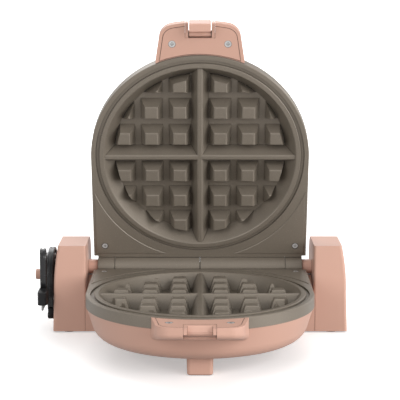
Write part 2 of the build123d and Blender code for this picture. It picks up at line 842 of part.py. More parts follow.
with BuildPart() as right_tower:
    add(tower_body.part)
    with BuildSketch(Plane.YZ.offset(tower_inner - shoulder_width)):
        Polygon(
            (-base_depth / 2, base_bottom),
            (-base_depth / 2, shoulder_height - 17.9),
            (-4.0, shoulder_height),
            (4.0, shoulder_height),
            (base_depth / 2, shoulder_height - 17.9),
            (base_depth / 2, base_bottom),
            align=None,
        )
    extrude(amount=shoulder_width + 1.0)
    with BuildSketch(Plane.YZ.offset(sleeve_end)):
        with Locations((0, axis_height)):
            Circle(sleeve_radius)
    extrude(amount=tower_inner + base_wall - sleeve_end)

relief_y = -20.0
relief_z = 13.5
bridge_screw_x = 60.0
bridge_screw_y = 24.0
with BuildPart() as base_housing:
    add(right_tower.part)
    mirror(right_tower.part, about=Plane.YZ)
    with BuildSketch(Plane.XY.offset(base_bottom)):
        Rectangle(2 * tower_inner + 2.0, base_depth)
    extrude(amount=bridge_height - base_bottom)
    add(tower_form(base_wall), mode=Mode.SUBTRACT)
    mirror(tower_form(base_wall), about=Plane.YZ, mode=Mode.SUBTRACT)
    with BuildSketch(Plane.XY.offset(base_bottom)):
        Rectangle(2 * (tower_inner + base_wall + 1.0), base_depth - 2 * base_wall)
    extrude(amount=bridge_height - base_bottom - base_wall, mode=Mode.SUBTRACT)
    with BuildSketch(Plane.XY.offset(base_bottom + base_plate_thickness)):
        with GridLocations(2 * bridge_screw_x, 2 * bridge_screw_y, 2, 2):
            Circle(3.5)
    extrude(amount=bridge_height - 1.0 - base_bottom - base_plate_thickness)
    with BuildSketch(Plane.XY.offset(base_bottom)):
        with GridLocations(2 * bridge_screw_x, 2 * bridge_screw_y, 2, 2):
            Circle(1.5 + running_fit)
    extrude(amount=8.0, mode=Mode.SUBTRACT)
    with Locations(Location((0, 0, axis_height), (0, 90, 0))):
        Cylinder(bush_radius + running_fit, 2 * (tower_inner + base_wall + 1.0), mode=Mode.SUBTRACT)
    with Locations(Location((-tower_outer, relief_y, relief_z), (0, 90, 0))):
        Cylinder(2.4 + running_fit, 12.0, mode=Mode.SUBTRACT)
export_piece(base_housing.part, "base_housing")

# Base plate, its screws and the rubber feet
with BuildPart() as base_plate:
    with BuildSketch(Plane.XY.offset(base_bottom)):
        Rectangle(2 * (tower_outer - base_wall - 0.3), base_depth - 2 * base_wall - 0.6)
        with GridLocations(2 * bridge_screw_x, 2 * bridge_screw_y, 2, 2):
            Circle(1.5 + running_fit, mode=Mode.SUBTRACT)
    extrude(amount=base_plate_thickness)
export_piece(base_plate.part, "base_plate")

with BuildPart() as base_screws:
    with BuildSketch(Plane.XY.offset(base_bottom - 0.9)):
        with GridLocations(2 * bridge_screw_x, 2 * bridge_screw_y, 2, 2):
            Circle(3.0)
    extrude(amount=0.9)
    with BuildSketch(Plane.XY.offset(base_bottom)):
        with GridLocations(2 * bridge_screw_x, 2 * bridge_screw_y, 2, 2):
            Circle(1.5)
    extrude(amount=7.5)
export_piece(base_screws.part, "base_screws")

pad_x = tower_inner + 17.0
pad_y = base_depth / 2 - 10.0
with BuildPart() as base_feet:
    with BuildSketch():
        Circle(foot_pad_radius)
        with GridLocations(2 * pad_x, 2 * pad_y, 2, 2):
            Circle(foot_pad_radius)
    extrude(amount=foot_pad_height)
export_piece(base_feet.part, "base_feet")

# Cord post on the left tower: a core, a retaining bar and a button at its end
column_pitch = cord_width + column_gap
spool_root = tower_outer - 1.1
inner_column_x = -(spool_root + 0.9 + cord_width / 2)
outer_column_x = inner_column_x - column_pitch
spool_end = -outer_column_x + cord_width / 2 + 1.0
with BuildPart() as cord_spool:
    with BuildSketch(Plane.YZ.offset(-spool_root)):
        with Locations((0, spool_height)):
            Circle(spool_radius)
    extrude(amount=spool_root - spool_end)
    with BuildSketch(Plane.YZ.offset(-spool_end)):
        with Locations((0, spool_height)):
            Circle(5.0)
    extrude(amount=-5.3)
    fillet(cord_spool.faces().sort_by(Axis.X)[0].edges(), 0.8)
export_piece(cord_spool.part, "cord_spool")

# Cord coil: half turns spiral inwards in the inner column, climb, and spiral out in the outer one
half_step = cord_pitch / 2
turns_in = 6
end_stub = cord_thickness


def arc_points(x_start, y_start, x_end, y_end, over_top):
    # Start, middle and end of a half turn between two points level with the post's centre
    rise = math.hypot(x_end - x_start, y_end - y_start) / 2
    middle_z = spool_height + rise if over_top else spool_height - rise
    middle = ((x_start + x_end) / 2, (y_start + y_end) / 2, middle_z)
    return (x_start, y_start, spool_height), middle, (x_end, y_end, spool_height)


half_turns = []
reach = cord_first_turn
side = -1
over_top = True
for turn in range(turns_in):
    next_reach = reach - half_step
    half_turns.append(
        arc_points(inner_column_x, side * reach, inner_column_x, -side * next_reach, over_top)
    )
    reach = next_reach
    side = -side
    over_top = not over_top
half_turns.append(arc_points(inner_column_x, side * reach, outer_column_x, -side * reach, over_top))
side = -side
over_top = not over_top
for turn in range(turns_in - 1):
    next_reach = reach + half_step
    half_turns.append(
        arc_points(outer_column_x, side * reach, outer_column_x, -side * next_reach, over_top)
    )
    reach = next_reach
    side = -side
    over_top = not over_top

# The last turn ends rising in front of the post
coil_end = (outer_column_x, -reach, spool_height + end_stub)


def cord_section(origin, direction):
    # Flat twin flex: a slot whose long side lies along X
    with BuildSketch(Plane(origin=origin, x_dir=(1, 0, 0), z_dir=direction)) as section:
        SlotOverall(cord_width, cord_thickness)
    return section.sketch


coil_start = (inner_column_x, -cord_first_turn, spool_height - end_stub)
with BuildPart() as cord_coil:
    with BuildLine() as coil_path:
        Line(coil_start, half_turns[0][0])
        for points in half_turns:
            ThreePointArc(*points)
        Line(half_turns[-1][2], coil_end)
    sweep(
        cord_section(coil_start, (0, 0, 1)),
        path=coil_path.line,
        binormal=coil_path.wires()[0].moved(Location((20, 0, 0))),
    )
export_piece(cord_coil.part, "cord_coil")

# The least gap between stretches of the coil, measured on points of its centre line
coil_wire = coil_path.wires()[0]
coil_length = coil_wire.length
stations = [coil_wire @ (i / 360) for i in range(361)]
station_step = coil_length / 360
flat_half = cord_width - cord_thickness
least_gap = min(
    math.hypot(
        max(abs(a.X - b.X) - flat_half, 0.0),
        math.hypot(a.Y - b.Y, a.Z - b.Z),
    )
    - cord_thickness
    for i, a in enumerate(stations)
    for b in stations[i + math.ceil(15.0 / station_step):]
)
print("least gap of the coil to itself:", round(least_gap, 2), "mm")
print("coil length:", round(coil_length, 1), "mm")


def corner_radii(points):
    # Each corner's arc takes 0.45 of the shorter run beside it
    radii = []
    for before, corner, after in zip(points, points[1:], points[2:]):
        run_in = Vector(*corner) - Vector(*before)
        run_out = Vector(*after) - Vector(*corner)
        half_turn = math.radians(run_in.get_angle(run_out)) / 2
        radii.append(0.45 * min(run_in.length, run_out.length) / math.tan(half_turn))
    return radii


# Strain relief: a round boss low on the tower's side with a flattened sleeve
relief_angle = math.radians(65.0)
relief_radius = 3.6
sleeve_length = 9.0
relief_root = tower_outer
lead_start = (
    inner_column_x,
    relief_y - sleeve_length * math.cos(relief_angle),
    relief_z + sleeve_length * math.sin(relief_angle),
)
lead_direction = (0, -math.cos(relief_angle), math.sin(relief_angle))
with BuildPart() as strain_relief:
    with BuildSketch(Plane.YZ.offset(-relief_root)):
        with Locations((relief_y, relief_z)):
            Circle(relief_radius)
    extrude(amount=inner_column_x - cord_width / 2 - 0.4 + relief_root)
    fillet(strain_relief.faces().sort_by(Axis.X)[0].edges(), 1.4)
    with BuildSketch(Plane.YZ.offset(-relief_root)):
        with Locations((relief_y, relief_z)):
            Circle(2.4)
    extrude(amount=4.5)
    with BuildSketch(Plane(origin=(inner_column_x, relief_y, relief_z), x_dir=(1, 0, 0),
                           z_dir=lead_direction)):
        SlotOverall(5.6, 5.0)
    with BuildSketch(Plane(origin=lead_start, x_dir=(1, 0, 0), z_dir=lead_direction)):
        SlotOverall(5.7, 3.6)
    loft()
export_piece(strain_relief.part, "strain_relief")

# Cord lead, from the strain relief up to the coil
lead_points = [
    lead_start,
    (
        inner_column_x,
        -cord_first_turn,
        relief_z + (cord_first_turn + relief_y) * math.tan(relief_angle),
    ),
    coil_start,
]
lead_radii = corner_radii(lead_points)
with BuildPart() as cord_lead:
    with BuildLine() as lead_path:
        FilletPolyline(*lead_points, radius=lead_radii)
    sweep(cord_section(lead_start, lead_direction), path=lead_path.line)
export_piece(cord_lead.part, "cord_lead")

# Cord tail: it rises from the coil, turns forward and hangs down to the plug
plug_y = -39.5
plug_top = 40.9
plug_height = 11.9
neck_height = 3.0
tail_top = 79.5
tail_lean = 0.084  # how far the tail and the plug turn towards the tower for each mm forward
tail_corner = 4.7
tail_front = plug_y - 0.5
tail_x = outer_column_x - tail_lean * (reach + tail_front)
plug_x = outer_column_x - tail_lean * (reach + plug_y)
tail_points = [
    coil_end,
    (outer_column_x, -reach, tail_top - tail_corner),
    (outer_column_x + tail_lean * tail_corner, -reach - tail_corner, tail_top),
    (tail_x - tail_lean * tail_corner, tail_front + tail_corner, tail_top),
    (tail_x, tail_front, tail_top - tail_corner),
    (plug_x, plug_y, plug_top + neck_height),
]
tail_radii = corner_radii(tail_points)
with BuildPart() as cord_tail:
    with BuildLine() as tail_path:
        FilletPolyline(*tail_points, radius=tail_radii)
    sweep(cord_section(coil_end, (0, 0, 1)), path=tail_path.line)
export_piece(cord_tail.part, "cord_tail")
print("lead radii:", [round(radius, 1) for radius in lead_radii])
print("tail radii:", [round(radius, 1) for radius in tail_radii])
cord_length = coil_length + lead_path.wires()[0].length + tail_path.wires()[0].length
print("cord length:", round(cord_length, 1), "mm")

# Plug: a flat moulded body with a tapered neck, and two flat blades
blade_half_spacing = 6.35
with BuildPart() as plug_body:
    with BuildSketch(Plane.XY.offset(plug_top - plug_height)):
        with Locations((plug_x, plug_y)):
            RectangleRounded(plug_thickness, plug_width, 2.4)
    extrude(amount=plug_height)
    fillet(plug_body.faces().sort_by(Axis.Z)[0].edges(), 0.6)
    fillet(plug_body.faces().sort_by(Axis.Z)[-1].edges(), 1.0)
    with BuildSketch(Plane.XY.offset(plug_top)):
        with Locations((plug_x, plug_y)):
            SlotOverall(7.6, 5.6)
    with BuildSketch(Plane.XY.offset(plug_top + neck_height)):
        with Locations((plug_x, plug_y)):
            SlotOverall(6.8, 3.6)
    loft()
export_piece(plug_body.part, "plug_body")

with BuildPart() as plug_blades:
    with BuildSketch(Plane.XY.offset(plug_top - plug_height)):
        with Locations(
            (plug_x, plug_y - blade_half_spacing),
            (plug_x, plug_y + blade_half_spacing),
        ):
            Rectangle(1.5, 6.3)
    extrude(amount=-4.8)
export_piece(plug_blades.part, "plug_blades")

# Supply wires inside the left tower, from the cord's entry up to the hollow shaft's end
supply_points = [
    (-(tower_outer - 4.9), relief_y, relief_z),
    (-(tower_outer - 14.0), relief_y, relief_z),
    (-(tower_outer - 18.0), 4.0, axis_height / 2),
    (-(tower_outer - 16.0), 0, axis_height),
    (-(shaft_half + 0.5), 0, axis_height),
]
with BuildPart() as supply_wires:
    with BuildLine() as supply_path:
        FilletPolyline(*supply_points, radius=4.0)
    with BuildSketch(Plane(origin=supply_points[0], z_dir=(1, 0, 0))):
        Circle(2.2)
    sweep(path=supply_path.line)
export_piece(supply_wires.part, "supply_wires")
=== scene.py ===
# Rotating waffle maker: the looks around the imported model
import json
import math
import bpy
import bmesh
import numpy as np
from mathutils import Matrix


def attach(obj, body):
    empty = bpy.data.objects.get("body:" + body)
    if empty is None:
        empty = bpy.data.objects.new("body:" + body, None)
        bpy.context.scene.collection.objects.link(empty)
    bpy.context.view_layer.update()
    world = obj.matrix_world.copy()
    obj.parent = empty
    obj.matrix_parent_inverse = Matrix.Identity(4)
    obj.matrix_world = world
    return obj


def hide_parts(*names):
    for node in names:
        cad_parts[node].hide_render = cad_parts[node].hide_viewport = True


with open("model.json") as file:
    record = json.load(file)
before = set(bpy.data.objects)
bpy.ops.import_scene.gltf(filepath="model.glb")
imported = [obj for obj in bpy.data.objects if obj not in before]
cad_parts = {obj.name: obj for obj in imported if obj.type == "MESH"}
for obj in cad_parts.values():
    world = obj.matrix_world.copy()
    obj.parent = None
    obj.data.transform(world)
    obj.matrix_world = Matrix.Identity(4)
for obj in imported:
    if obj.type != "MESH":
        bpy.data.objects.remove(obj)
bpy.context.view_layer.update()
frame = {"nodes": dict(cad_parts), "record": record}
nodes = frame["nodes"]
mm = 0.001  # the pieces' plans are in millimetres, and what is in the scene is in metres
print("frame loaded:", len(nodes), "nodes")

# Camera at the photograph's place: looks along +Y and a little down. Its place is in metres, its lens
# and sensor in millimetres
cameraPlan = {"place": (0.0, -1.4383, 0.3461), "pitchDown": 8.849, "lens": 135.9, "sensor": 36.0}
cameraData = bpy.data.cameras.new("camera")
cameraData.sensor_width = cameraPlan["sensor"]
cameraData.lens = cameraPlan["lens"]
camera = bpy.data.objects.new("camera", cameraData)
camera.location = cameraPlan["place"]
camera.rotation_euler = (math.radians(90.0 - cameraPlan["pitchDown"]), 0.0, 0.0)
bpy.context.scene.collection.objects.link(camera)
bpy.context.scene.camera = camera
bpy.context.scene.view_settings.view_transform = "Standard"
print("camera placed")


def surfaceObject(name, points, closeAcross=False, capEnds=False, closeAlong=False):
    # points[i, j] is a grid of places: i runs along the piece, j across it. Neighbours become quads
    rows, columns = points.shape[:2]
    index = np.arange(rows * columns).reshape(rows, columns)
    if closeAcross:
        index = np.concatenate([index, index[:, :1]], axis=1)
    if closeAlong:
        index = np.concatenate([index, index[:1]], axis=0)
    quads = np.stack([index[:-1, :-1], index[:-1, 1:], index[1:, 1:], index[1:, :-1]], axis=-1)
    faces = quads.reshape(-1, 4).tolist()
    if capEnds:
        faces.append(np.arange(columns)[::-1].tolist())
        faces.append((np.arange(columns) + (rows - 1) * columns).tolist())
    mesh = bpy.data.meshes.new(name)
    mesh.from_pydata(points.reshape(-1, 3).tolist(), [], faces)
    tidyMesh = bmesh.new()
    tidyMesh.from_mesh(mesh)
    bmesh.ops.recalc_face_normals(tidyMesh, faces=tidyMesh.faces)
    tidyMesh.to_mesh(mesh)
    tidyMesh.free()
    mesh.shade_smooth()
    piece = bpy.data.objects.new(name, mesh)
    bpy.context.scene.collection.objects.link(piece)
    return piece


# Node groups, each built once
def groupSocket(group, direction, kind, name, value=None):
    socket = group.interface.new_socket(name=name, in_out=direction, socket_type=kind)
    if value is not None:
        socket.default_value = value


grainPlan = {
    "driftDetail": 4.0, "grainDetail": 3.0, "speckRange": (0.58, 0.72), "roughRange": (0.3, 0.7),
    "grainHeight": 0.6,
}


def makeSurfaceGrain(plan):
    # Colour drifts slowly between two tones and has fine specks. Height is two sizes of noise added
    group = bpy.data.node_groups.new("surfaceGrain", "ShaderNodeTree")
    groupSocket(group, "INPUT", "NodeSocketColor", "Tone", (0.5, 0.5, 0.5, 1.0))
    groupSocket(group, "INPUT", "NodeSocketColor", "Drift Tone", (0.4, 0.4, 0.4, 1.0))
    groupSocket(group, "INPUT", "NodeSocketColor", "Speck Tone", (0.6, 0.6, 0.6, 1.0))
    groupSocket(group, "INPUT", "NodeSocketFloat", "Drift Scale", 18.0)
    groupSocket(group, "INPUT", "NodeSocketFloat", "Grain Scale", 2600.0)
    groupSocket(group, "INPUT", "NodeSocketFloat", "Speck Amount", 0.1)
    groupSocket(group, "INPUT", "NodeSocketFloat", "Roughness Low", 0.35)
    groupSocket(group, "INPUT", "NodeSocketFloat", "Roughness High", 0.5)
    groupSocket(group, "OUTPUT", "NodeSocketColor", "Color")
    groupSocket(group, "OUTPUT", "NodeSocketFloat", "Roughness")
    groupSocket(group, "OUTPUT", "NodeSocketFloat", "Height")
    make, join = group.nodes.new, group.links.new
    inputs = make("NodeGroupInput")
    outputs = make("NodeGroupOutput")
    place = make("ShaderNodeTexCoord")
    drift = make("ShaderNodeTexNoise")
    drift.inputs["Detail"].default_value = plan["driftDetail"]
    grain = make("ShaderNodeTexNoise")
    grain.inputs["Detail"].default_value = plan["grainDetail"]
    driftMix = make("ShaderNodeMix")
    driftMix.data_type = "RGBA"
    speckMix = make("ShaderNodeMix")
    speckMix.data_type = "RGBA"
    speckMask = make("ShaderNodeMapRange")
    speckMask.inputs["From Min"].default_value = plan["speckRange"][0]
    speckMask.inputs["From Max"].default_value = plan["speckRange"][1]
    speckShare = make("ShaderNodeMath")
    speckShare.operation = "MULTIPLY"
    roughRange = make("ShaderNodeMapRange")
    roughRange.inputs["From Min"].default_value = plan["roughRange"][0]
    roughRange.inputs["From Max"].default_value = plan["roughRange"][1]
    heightSum = make("ShaderNodeMath")
    heightSum.operation = "MULTIPLY_ADD"
    heightSum.inputs[1].default_value = plan["grainHeight"]
    join(place.outputs["Object"], drift.inputs["Vector"])
    join(place.outputs["Object"], grain.inputs["Vector"])
    join(inputs.outputs["Drift Scale"], drift.inputs["Scale"])
    join(inputs.outputs["Grain Scale"], grain.inputs["Scale"])
    join(drift.outputs["Fac"], driftMix.inputs["Factor"])
    join(inputs.outputs["Tone"], driftMix.inputs["A"])
    join(inputs.outputs["Drift Tone"], driftMix.inputs["B"])
    join(grain.outputs["Fac"], speckMask.inputs["Value"])
    join(speckMask.outputs["Result"], speckShare.inputs[0])
    join(inputs.outputs["Speck Amount"], speckShare.inputs[1])
    join(speckShare.outputs["Value"], speckMix.inputs["Factor"])
    join(driftMix.outputs["Result"], speckMix.inputs["A"])
    join(inputs.outputs["Speck Tone"], speckMix.inputs["B"])
    join(drift.outputs["Fac"], roughRange.inputs["Value"])
    join(inputs.outputs["Roughness Low"], roughRange.inputs["To Min"])
    join(inputs.outputs["Roughness High"], roughRange.inputs["To Max"])
    join(grain.outputs["Fac"], heightSum.inputs[0])
    join(drift.outputs["Fac"], heightSum.inputs[2])
    join(speckMix.outputs["Result"], outputs.inputs["Color"])
    join(roughRange.outputs["Result"], outputs.inputs["Roughness"])
    join(heightSum.outputs["Value"], outputs.inputs["Height"])
    return group


# Painted shade: seams and inner corners are darkened in the colour, as shade would fall there
# Reach is in metres. Shut and open are the open shares at which the painted shade is full and gone
paintedShadePlan = {"reach": 0.0012, "depth": 0.24, "samples": 8, "shut": 0.35, "open": 0.92}


def makePaintedSeamShade(plan):
    # Painted shade: where the open share of the sky over a point falls, the colour is multiplied down
    # towards Depth
    group = bpy.data.node_groups.new("paintedSeamShade", "ShaderNodeTree")
    groupSocket(group, "INPUT", "NodeSocketColor", "Color", (0.5, 0.5, 0.5, 1.0))
    groupSocket(group, "INPUT", "NodeSocketFloat", "Reach", 0.001)
    groupSocket(group, "INPUT", "NodeSocketFloat", "Depth", 0.3)
    groupSocket(group, "OUTPUT", "NodeSocketColor", "Color")
    make, join = group.nodes.new, group.links.new
    inputs = make("NodeGroupInput")
    outputs = make("NodeGroupOutput")
    openShare = make("ShaderNodeAmbientOcclusion")
    openShare.samples = plan["samples"]
    level = make("ShaderNodeMapRange")
    level.inputs["From Min"].default_value = plan["shut"]
    level.inputs["From Max"].default_value = plan["open"]
    shade = make("ShaderNodeMix")
    shade.data_type = "RGBA"
    shade.blend_type = "MULTIPLY"
    shade.inputs["Factor"].default_value = 1.0
    join(inputs.outputs["Reach"], openShare.inputs["Distance"])
    join(openShare.outputs["AO"], level.inputs["Value"])
    join(inputs.outputs["Depth"], level.inputs["To Min"])
    join(inputs.outputs["Color"], shade.inputs["A"])
    join(level.outputs["Result"], shade.inputs["B"])
    join(shade.outputs["Result"], outputs.inputs["Color"])
    return group


surfaceGrain = makeSurfaceGrain(grainPlan)
paintedSeamShade = makePaintedSeamShade(paintedShadePlan)
bumpRise = 0.0002  # metres that a bump of full strength rises

# A finish drifts between tone and drift and is specked with speck. Its scales are per metre
finishes = {
    "pinkPlastic": {
        "tone": (0.620, 0.372, 0.288), "drift": (0.590, 0.348, 0.268), "speck": (0.670, 0.415, 0.330),
        "driftScale": 14.0, "grainScale": 1500.0, "speckAmount": 0.10,
        "rough": (0.40, 0.50), "metallic": 0.0, "specular": 0.45, "bump": 0.06, "coat": 0.0,
    },
    "castCoat": {
        "tone": (0.212, 0.180, 0.143), "drift": (0.186, 0.157, 0.124), "speck": (0.330, 0.290, 0.240),
        "driftScale": 22.0, "grainScale": 1300.0, "speckAmount": 0.35,
        "rough": (0.36, 0.46), "metallic": 0.25, "specular": 0.5, "bump": 0.10, "coat": 0.0,
    },
    "steel": {
        "tone": (0.34, 0.335, 0.33), "drift": (0.28, 0.275, 0.27), "speck": (0.46, 0.45, 0.44),
        "driftScale": 60.0, "grainScale": 2400.0, "speckAmount": 0.15,
        "rough": (0.28, 0.38), "metallic": 1.0, "specular": 0.5, "bump": 0.03, "coat": 0.0,
    },
    "platedScrew": {
        "tone": (0.66, 0.65, 0.64), "drift": (0.52, 0.515, 0.51), "speck": (0.84, 0.83, 0.82),
        "driftScale": 90.0, "grainScale": 2400.0, "speckAmount": 0.2,
        "rough": (0.30, 0.42), "metallic": 0.35, "specular": 0.5, "bump": 0.03, "coat": 0.0,
    },
    "zincSheet": {
        "tone": (0.50, 0.50, 0.51), "drift": (0.40, 0.40, 0.42), "speck": (0.62, 0.62, 0.64),
        "driftScale": 40.0, "grainScale": 700.0, "speckAmount": 0.4,
        "rough": (0.35, 0.50), "metallic": 1.0, "specular": 0.5, "bump": 0.05, "coat": 0.0,
    },
    "blackRubber": {
        "tone": (0.013, 0.013, 0.014), "drift": (0.019, 0.019, 0.020), "speck": (0.036, 0.036, 0.038),
        "driftScale": 50.0, "grainScale": 2200.0, "speckAmount": 0.25,
        "rough": (0.22, 0.30), "metallic": 0.0, "specular": 0.5, "bump": 0.08, "coat": 0.0,
    },
    "plugPlastic": {
        "tone": (0.007, 0.007, 0.008), "drift": (0.010, 0.010, 0.011), "speck": (0.022, 0.022, 0.024),
        "driftScale": 50.0, "grainScale": 1800.0, "speckAmount": 0.3,
        "rough": (0.45, 0.58), "metallic": 0.0, "specular": 0.3, "bump": 0.10, "coat": 0.0,
    },
    "darkFibre": {
        "tone": (0.012, 0.011, 0.010), "drift": (0.018, 0.016, 0.014), "speck": (0.040, 0.036, 0.032),
        "driftScale": 60.0, "grainScale": 1800.0, "speckAmount": 0.3,
        "rough": (0.75, 0.90), "metallic": 0.0, "specular": 0.1, "bump": 0.08, "coat": 0.0,
    },
    "naturalNylon": {
        "tone": (0.70, 0.67, 0.60), "drift": (0.64, 0.61, 0.54), "speck": (0.78, 0.76, 0.70),
        "driftScale": 30.0, "grainScale": 1800.0, "speckAmount": 0.1,
        "rough": (0.35, 0.45), "metallic": 0.0, "specular": 0.5, "bump": 0.03, "coat": 0.0,
    },
    "ceramic": {
        "tone": (0.58, 0.54, 0.46), "drift": (0.50, 0.46, 0.39), "speck": (0.68, 0.65, 0.58),
        "driftScale": 80.0, "grainScale": 1500.0, "speckAmount": 0.3,
        "rough": (0.50, 0.65), "metallic": 0.0, "specular": 0.4, "bump": 0.08, "coat": 0.0,
    },
    "redLens": {
        "tone": (0.55, 0.020, 0.012), "drift": (0.45, 0.015, 0.010), "speck": (0.65, 0.05, 0.04),
        "driftScale": 60.0, "grainScale": 900.0, "speckAmount": 0.1,
        "rough": (0.08, 0.15), "metallic": 0.0, "specular": 0.5, "bump": 0.01, "coat": 0.3,
    },
}


def makeFinish(name, plan):
    # The grain's colour, with shade painted into seams and inner corners narrower than the painted
    # shade's reach
    material = bpy.data.materials.new(name)
    material.use_nodes = True
    tree = material.node_tree
    make, join = tree.nodes.new, tree.links.new
    shader = tree.nodes["Principled BSDF"]
    grain = make("ShaderNodeGroup")
    grain.node_tree = surfaceGrain
    grain.inputs["Tone"].default_value = (*plan["tone"], 1.0)
    grain.inputs["Drift Tone"].default_value = (*plan["drift"], 1.0)
    grain.inputs["Speck Tone"].default_value = (*plan["speck"], 1.0)
    grain.inputs["Drift Scale"].default_value = plan["driftScale"]
    grain.inputs["Grain Scale"].default_value = plan["grainScale"]
    grain.inputs["Speck Amount"].default_value = plan["speckAmount"]
    grain.inputs["Roughness Low"].default_value = plan["rough"][0]
    grain.inputs["Roughness High"].default_value = plan["rough"][1]
    # Painted shade: darkens the grain's colour in seams and inner corners
    paintedShade = make("ShaderNodeGroup")
    paintedShade.node_tree = paintedSeamShade
    paintedShade.inputs["Reach"].default_value = paintedShadePlan["reach"]
    paintedShade.inputs["Depth"].default_value = paintedShadePlan["depth"]
    bump = make("ShaderNodeBump")
    bump.inputs["Strength"].default_value = plan["bump"]
    bump.inputs["Distance"].default_value = bumpRise
    join(grain.outputs["Color"], paintedShade.inputs["Color"])
    join(paintedShade.outputs["Color"], shader.inputs["Base Color"])
    join(grain.outputs["Roughness"], shader.inputs["Roughness"])
    join(grain.outputs["Height"], bump.inputs["Height"])
    join(bump.outputs["Normal"], shader.inputs["Normal"])
    shader.inputs["Metallic"].default_value = plan["metallic"]
    shader.inputs["Specular IOR Level"].default_value = plan["specular"]
    shader.inputs["Coat Weight"].default_value = plan["coat"]
    return material


materials = {name: makeFinish(name, plan) for name, plan in finishes.items()}
slotFinishes = {
    "pink": "pinkPlastic", "coated": "castCoat", "steel": "steel", "sheet": "zincSheet",
    "rubber": "blackRubber", "bush": "naturalNylon", "sensor": "ceramic", "lens": "redLens",
}


def dress(piece, finish):
    # The finish takes the place of whatever the piece had
    piece.data.materials.clear()
    piece.data.materials.append(materials[finish])


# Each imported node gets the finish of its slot, and the corner and handle screws get a plated one
for entry in frame["record"]["subparts"]:
    dress(nodes[entry["node"]], slotFinishes[entry["material_slot"]])
for nodeName in nodes:
    if nodeName.endswith(("corner_screws", "handle_screws")):
        dress(nodes[nodeName], "platedScrew")
print("materials:", len(materials))

# Mains cord: a flat twin flex wound on the post in two columns. Its tail rises in front of the coil,
# turns over and hangs down to the plug
cordPlan = {
    "width": 6.2, "thickness": 3.0, "innerX": -142.9, "outerX": -149.35, "postZ": 49.4,
    "firstReach": 27.0, "halfStep": 2.95, "turnsIn": 6, "turnsOut": 5, "pointsPerHalf": 8,
    "exit": (-142.9, -23.804, 21.657), "leadCorner": (-142.9, -27.0, 28.512), "stub": 3.0,
    "tail": (  # y and z; the two at 68.2 keep the bend between them round
        (-24.05, 68.2), (-24.05, 74.8), (-28.75, 79.5), (-35.3, 79.5), (-40.0, 74.8), (-39.89, 68.2),
        (-39.5, 43.9),
    ),
    "tailLean": 0.084,  # towards the tower for each mm forward
    "linePerPoint": 6, "sectionPoints": 24, "lobeStep": 3, "waistDepth": 0.50, "waistShare": 0.28,
}
leastStep = 1e-5  # metres: nearer places on a line are one


def halfTurnPoints(start, end, upward, count):
    # Corners of a polygon round a circle on the line from start to end: its sides touch the circle
    start, end = np.array(start), np.array(end)
    centre = (start + end) / 2
    arm = (start - end) / 2
    rise = np.array([0.0, 0.0, np.linalg.norm(arm) * (1 if upward else -1)])
    step = math.pi / count
    angles = (np.arange(count) + 0.5) * step
    grow = 1 / math.cos(step / 2)
    return centre + grow * (np.cos(angles)[:, None] * arm + np.sin(angles)[:, None] * rise)


def cordRoute(plan):
    # Half circles over and under the post in turn. Each is a step smaller in the inner column and a
    # step larger in the outer one, and the one that crosses over has the same reach at both ends
    innerX, outerX, postZ = plan["innerX"], plan["outerX"], plan["postZ"]
    route = [plan["exit"], plan["leadCorner"], (innerX, -plan["firstReach"], postZ - plan["stub"])]
    reach, side, upward, columnX = plan["firstReach"], -1, True, innerX
    steps = [-1] * plan["turnsIn"] + [0] + [1] * plan["turnsOut"]
    for step in steps:
        nextReach = reach + step * plan["halfStep"]
        nextX = outerX if step >= 0 else innerX
        start = (columnX, side * reach, postZ)
        end = (nextX, -side * nextReach, postZ)
        route.extend(halfTurnPoints(start, end, upward, plan["pointsPerHalf"]).tolist())
        reach, side, upward, columnX = nextReach, -side, not upward, nextX
    route.append((outerX, side * reach, postZ + plan["stub"]))
    tailY = plan["tail"][0][0]
    route.extend((outerX + plan["tailLean"] * (tailY - y), y, z) for y, z in plan["tail"])
    return np.array(route) * mm


def splineLine(name, points, perSegment):
    # A NURBS spline of third order on the points, read back as a line of places
    curve = bpy.data.curves.new(name, "CURVE")
    curve.dimensions = "3D"
    spline = curve.splines.new("NURBS")
    spline.points.add(len(points) - 1)
    spline.points.foreach_set("co", np.c_[points, np.ones(len(points))].ravel())
    spline.order_u = 3
    spline.use_endpoint_u = True
    spline.resolution_u = perSegment
    guide = bpy.data.objects.new(name, curve)
    bpy.context.scene.collection.objects.link(guide)
    line = bpy.data.meshes.new_from_object(guide)
    places = np.empty(len(line.vertices) * 3)
    line.vertices.foreach_get("co", places)
    bpy.data.objects.remove(guide)
    bpy.data.curves.remove(curve)
    bpy.data.meshes.remove(line)
    places = places.reshape(-1, 3)
    stepLength = np.linalg.norm(np.diff(places, axis=0), axis=1)
    return places[np.r_[True, stepLength > leastStep]]


def alongLine(places, section):
    # Carries a flat section along a line: its width stays as near X as the line's direction lets it
    ahead = np.gradient(places, axis=0)
    ahead /= np.linalg.norm(ahead, axis=1)[:, None]
    wide = np.array([1.0, 0.0, 0.0]) - ahead[:, :1] * ahead
    wide /= np.linalg.norm(wide, axis=1)[:, None]
    thick = np.cross(ahead, wide)
    return places[:, None] + section[..., :1] * wide[:, None] + section[..., 1:] * thick[:, None]


def twinFlexSection(plan):
    # Two lobes side by side: x is a steep step plus a cosine, y is a sine with a narrow waist
    width, thickness, steep = plan["width"] * mm, plan["thickness"] * mm, plan["lobeStep"]
    angles = np.linspace(0, 2 * np.pi, plan["sectionPoints"], endpoint=False)
    lobe = thickness / 2
    offset = width / 2 - lobe
    x = offset * np.tanh(steep * np.cos(angles)) / np.tanh(steep) + lobe * np.cos(angles)
    waist = np.exp(-((x / (plan["waistShare"] * width / 2)) ** 2))
    y = lobe * np.sin(angles) * (1 - plan["waistDepth"] * waist)
    return np.stack([x, y], axis=-1)


cordLine = splineLine("cordGuide", cordRoute(cordPlan), cordPlan["linePerPoint"])
cordSkin = alongLine(cordLine, twinFlexSection(cordPlan)[None])
cord = surfaceObject("cord", cordSkin, closeAcross=True, capEnds=True)
dress(cord, "blackRubber")

